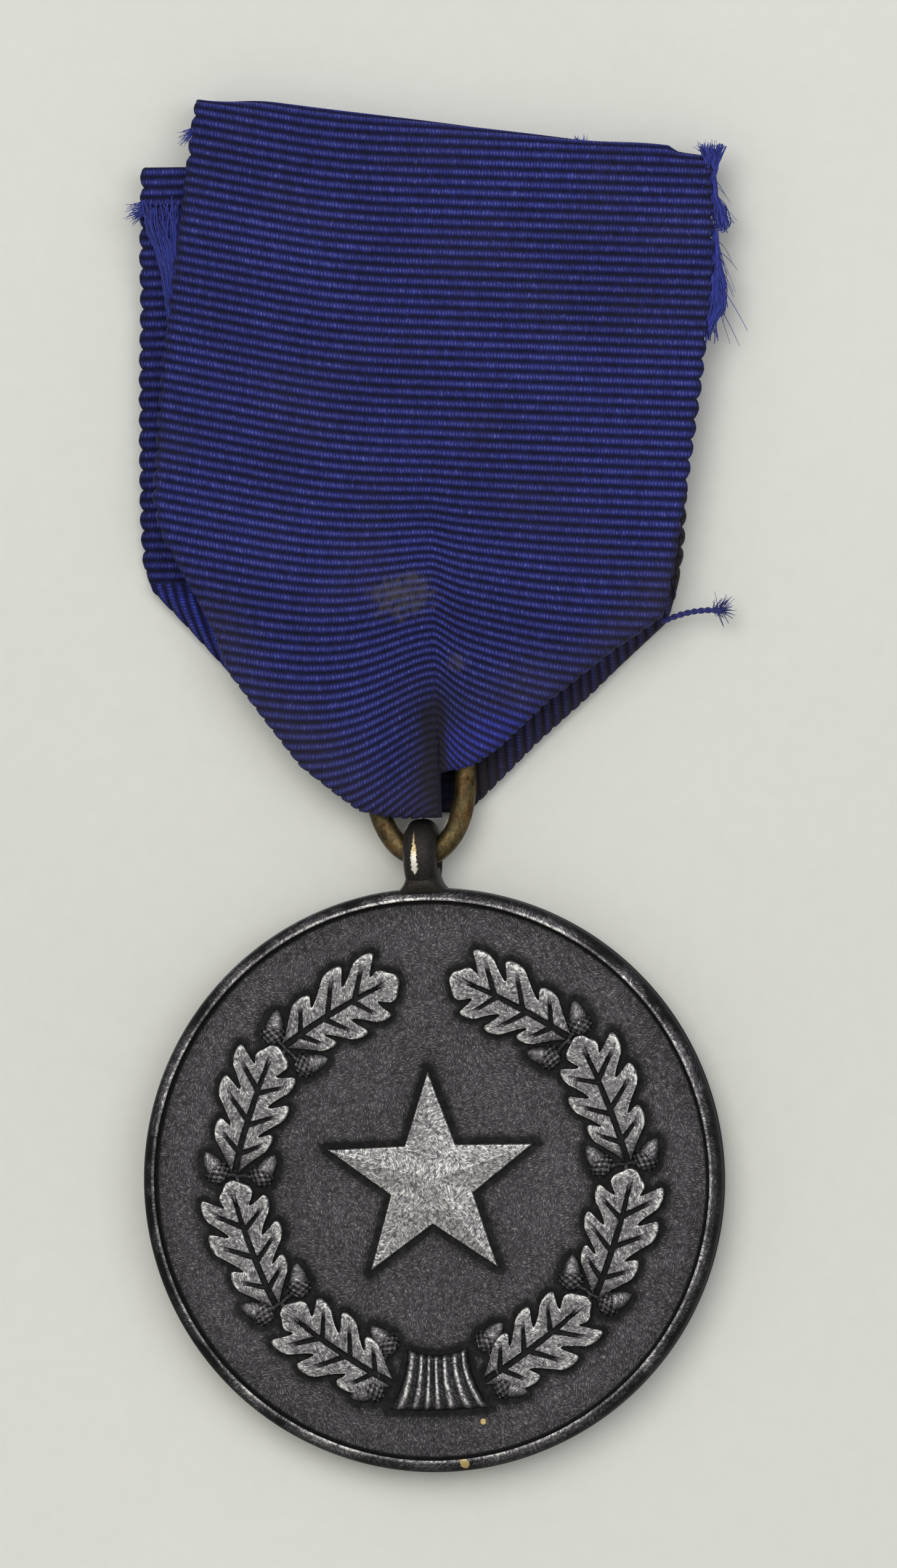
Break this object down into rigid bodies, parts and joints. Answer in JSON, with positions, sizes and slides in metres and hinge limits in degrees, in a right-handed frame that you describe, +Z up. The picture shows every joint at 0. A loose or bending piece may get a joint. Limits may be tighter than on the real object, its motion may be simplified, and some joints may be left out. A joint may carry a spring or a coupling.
{
  "type": "service medal",
  "caption": "Round struck medal with an oak-leaf wreath and a plain star, hung by an oval ring from a folded ribbed ribbon with a sewn-on brass brooch.",
  "frame": {"origin": "centre of the disc, on the plane of its reverse rim", "axes": "+Z up as worn, the obverse faces -Y, +X to the viewer's right"},
  "size_m": [0.0403, 0.0062, 0.0897],
  "materials": {
    "struck_metal": "dark grey patina, worn bright on the relief",
    "solder": "dull tarnished solder",
    "ring_brass": "olive-brown aged brass",
    "ribbon": "royal to navy blue ribbed rayon, frayed and soiled",
    "thread": "matt twisted cotton",
    "brooch_brass": "dull aged brass",
    "needle_steel": "drawn wire, slightly tarnished"
  },
  "bodies": {
    "brooch": {"brooch_bar": "brooch_brass", "needle_rivet": "brooch_brass", "needle_washer": "brooch_brass", "catch_hook": "brooch_brass", "brooch_stitches": "thread", "ribbon_top": "ribbon"},
    "ribbon": {"ribbon_drape": "ribbon", "hem_thread": "thread"},
    "ring": {"suspension_ring": "ring_brass"},
    "medal": {"medal_disc": "struck_metal", "suspension_eye": "struck_metal", "eye_solder": "solder"},
    "needle": {"brooch_needle": "needle_steel"}
  },
  "joints": [
    {"name": "ribbon_flex", "type": "hinge", "parent": "brooch", "child": "ribbon", "pos_m": [0, -0.0015, 0.058], "axis": [-1, 0, 0], "range_deg": [0, 40]},
    {"name": "ring_sway", "type": "hinge", "parent": "ribbon", "child": "ring", "pos_m": [0, -0.0015, 0.0303], "axis": [0, 1, 0], "range_deg": [-15, 15]},
    {"name": "medal_swing", "type": "hinge", "parent": "ring", "child": "medal", "pos_m": [0, -0.0015, 0.02111], "axis": [1, 0, 0], "range_deg": [-90, 90]},
    {"name": "needle_swing", "type": "hinge", "parent": "brooch", "child": "needle", "pos_m": [-0.0119, 0.0015, 0.0625], "axis": [0, 1, 0], "range_deg": [0, 100]}
  ]
}
